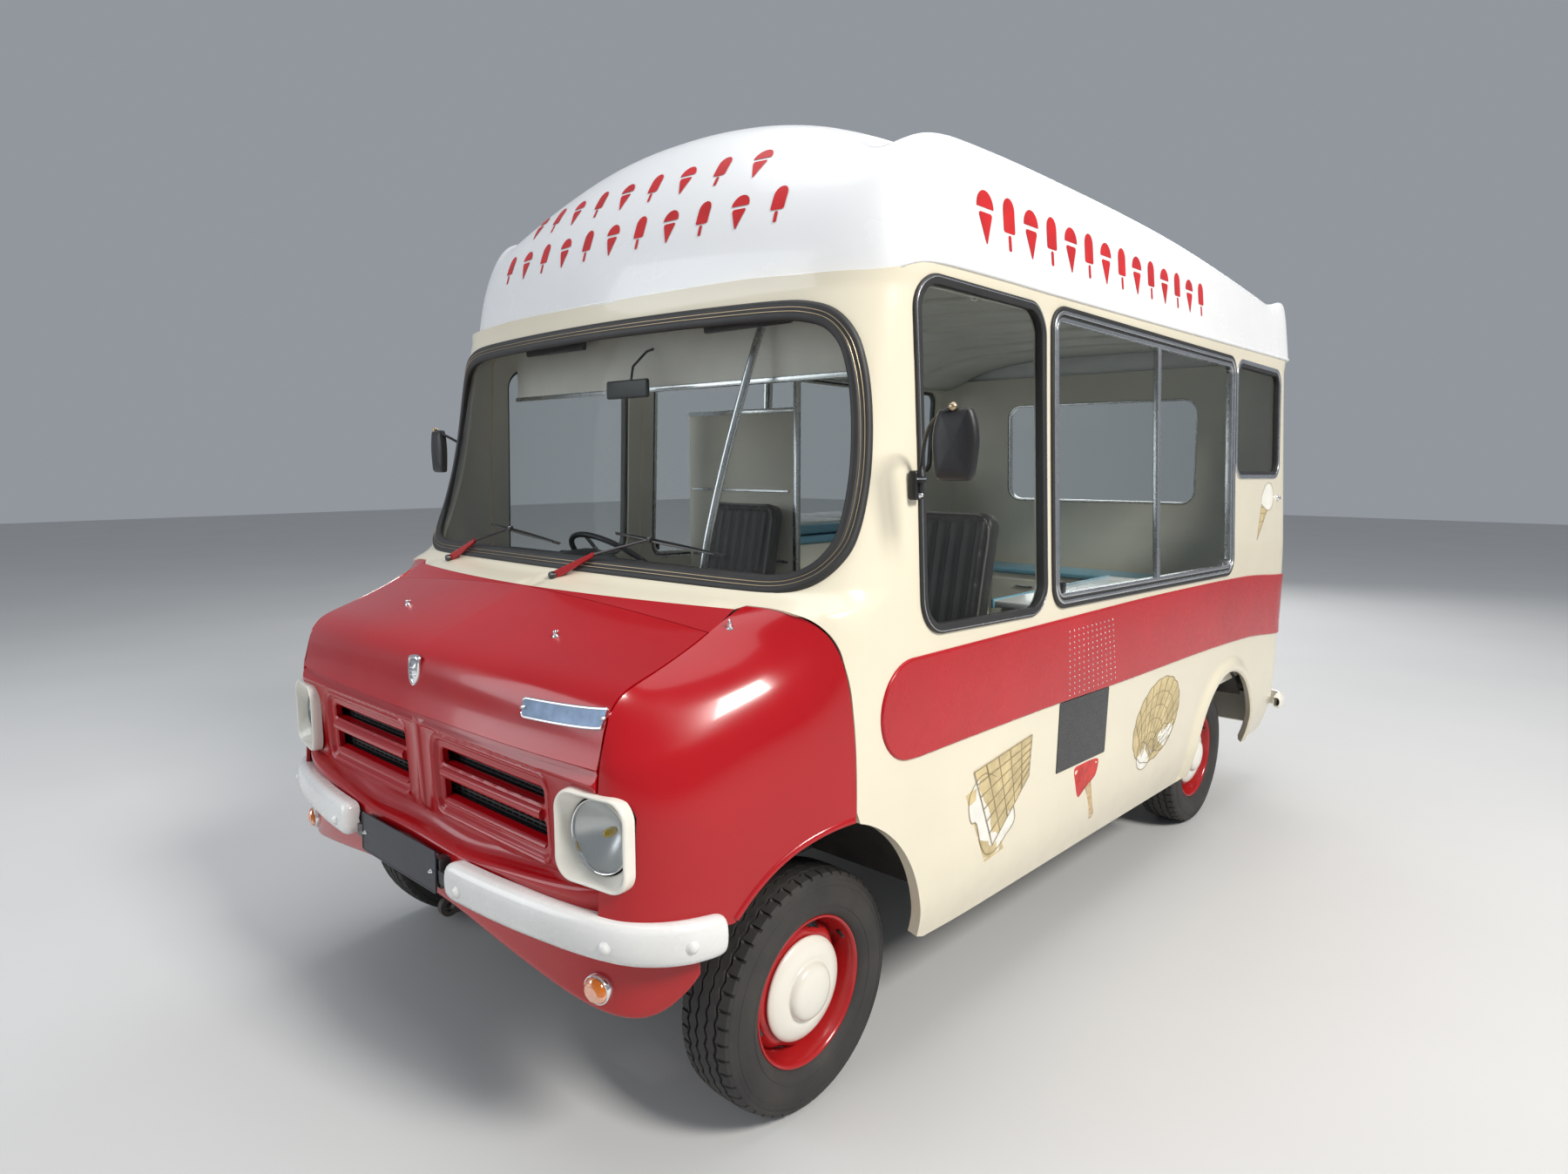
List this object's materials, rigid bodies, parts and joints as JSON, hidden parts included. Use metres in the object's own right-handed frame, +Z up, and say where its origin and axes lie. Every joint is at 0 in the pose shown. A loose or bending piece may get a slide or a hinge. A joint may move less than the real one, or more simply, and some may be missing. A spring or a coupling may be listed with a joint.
{
  "type": "ice cream truck",
  "caption": "Short-nose light van with a cream moulded serving body, white domed roof, red band, steered front wheels, opening bonnet, driver's door and freezer lid.",
  "frame": {"origin": "centre of the bounding box, on the ground under the tyres", "axes": "+X to the vehicle's left, front faces -Y, +Z up"},
  "size_m": [2.48, 4.3, 2.735],
  "materials": {
    "cream_paint": "gloss cream coach paint over moulded panels",
    "white_paint": "gloss white",
    "red_paint": "gloss red enamel",
    "band_red": "gloss dark red",
    "black_paint": "satin black",
    "chassis_black": "matt black, road film",
    "clear_glass": "clear",
    "black_rubber": "weathered rubber",
    "frame_alloy": "anodised",
    "tyre_rubber": "block tread",
    "lamp_glass": "fluted clear",
    "amber_lens": "amber",
    "red_lens": "ruby",
    "plate_black": "satin black, blank",
    "dash_plastic": "grained",
    "seat_vinyl": "black leathercloth",
    "cabinet_cream": "moulded cream",
    "lid_blue": "pale blue",
    "cast_metal": "cast, oily",
    "floor_grey": "textured"
  },
  "bodies": {
    "root": {"cab_seats": "seat_vinyl", "chassis_crossmembers": "chassis_black", "chassis_rails": "chassis_black", "dashboard": "dash_plastic", "door_mirrors": "dash_plastic", "engine_block": "cast_metal", "engine_cover": "dash_plastic", "exhaust": "chassis_black", "floor": "floor_grey", "front_apron": "red_paint", "front_bumper": "white_paint", "front_indicators": "amber_lens", "front_moulding": "cream_paint", "front_suspension": "chassis_black", "front_wings": "red_paint", "fuel_tank": "chassis_black", "grille_panel": "red_paint", "headlamp_surrounds": "white_paint", "headlamps": "lamp_glass", "leaf_springs": "chassis_black", "number_plates": "plate_black", "propeller_shaft": "chassis_black", "radiator": "black_paint", "rear_axle": "chassis_black", "rear_bumper": "cream_paint", "rear_panel": "cream_paint", "rear_wheel_boxes": "chassis_black", "roof_moulding": "white_paint", "roof_rails": "cream_paint", "scuttle": "black_paint", "seat_bases": "black_paint", "serving_cabinets": "cabinet_cream", "side_bands": "band_red", "side_panel_left": "cream_paint", "side_panel_right": "cream_paint", "tail_lamps": "red_lens", "window_frames": "frame_alloy", "window_glass": "clear_glass", "windscreen": "clear_glass", "windscreen_seal": "black_rubber", "wipers": "black_paint"},
    "bonnet": {"bonnet": "red_paint"},
    "driver_door": {"driver_door": "cream_paint", "door_window_frame": "frame_alloy", "door_glass": "clear_glass"},
    "freezer_lid": {"freezer_lid": "lid_blue"},
    "steering_wheel": {"steering_wheel": "dash_plastic"},
    "knuckle_left": {"knuckle_left": "cast_metal"},
    "knuckle_right": {"knuckle_right": "cast_metal"},
    "wheel_front_left": {"tyre_front_left": "tyre_rubber", "wheel_front_left": "red_paint"},
    "wheel_rear_left": {"tyre_rear_left": "tyre_rubber", "wheel_rear_left": "red_paint"},
    "wheel_front_right": {"tyre_front_right": "tyre_rubber", "wheel_front_right": "red_paint"},
    "wheel_rear_right": {"tyre_rear_right": "tyre_rubber", "wheel_rear_right": "red_paint"}
  },
  "joints": [
    {"name": "bonnet_hinge", "type": "hinge", "parent": "root", "child": "bonnet", "pos_m": [0, -1.717, 1.301], "axis": [-1, 0, 0], "range_deg": [0, 60]},
    {"name": "door_hinge", "type": "hinge", "parent": "root", "child": "driver_door", "pos_m": [-1.041, -1.227, 0.89], "axis": [0, 0, 1], "range_deg": [0, 70]},
    {"name": "freezer_lid_hinge", "type": "hinge", "parent": "root", "child": "freezer_lid", "pos_m": [-0.906, 0.3, 1.333], "axis": [0, -1, 0], "range_deg": [0, 75]},
    {"name": "steer_left", "type": "hinge", "parent": "root", "child": "knuckle_left", "pos_m": [0.73, -1.485, 0.312], "axis": [0, 0, 1], "range_deg": [-32, 32]},
    {"name": "steer_right", "type": "hinge", "parent": "root", "child": "knuckle_right", "pos_m": [-0.73, -1.485, 0.312], "axis": [0, 0, 1], "range_deg": [-32, 32]},
    {"name": "steering_wheel_turn", "type": "hinge", "parent": "root", "child": "steering_wheel", "pos_m": [-0.47, -1.005, 1.255], "axis": [0, 0.6428, 0.766], "range_deg": [-450, 450]},
    {"name": "wheel_front_left_spin", "type": "hinge", "parent": "knuckle_left", "child": "wheel_front_left", "pos_m": [0.817, -1.485, 0.312], "axis": [1, 0, 0], "continuous": true},
    {"name": "wheel_front_right_spin", "type": "hinge", "parent": "knuckle_right", "child": "wheel_front_right", "pos_m": [-0.817, -1.485, 0.312], "axis": [1, 0, 0], "continuous": true},
    {"name": "wheel_rear_left_spin", "type": "hinge", "parent": "root", "child": "wheel_rear_left", "pos_m": [0.84, 1.207, 0.312], "axis": [1, 0, 0], "continuous": true},
    {"name": "wheel_rear_right_spin", "type": "hinge", "parent": "root", "child": "wheel_rear_right", "pos_m": [-0.84, 1.207, 0.312], "axis": [1, 0, 0], "continuous": true}
  ],
  "couplings": [
    {"joint": "steer_right", "follows": "steer_left", "ratio": 1},
    {"joint": "steering_wheel_turn", "follows": "steer_left", "ratio": 14}
  ]
}
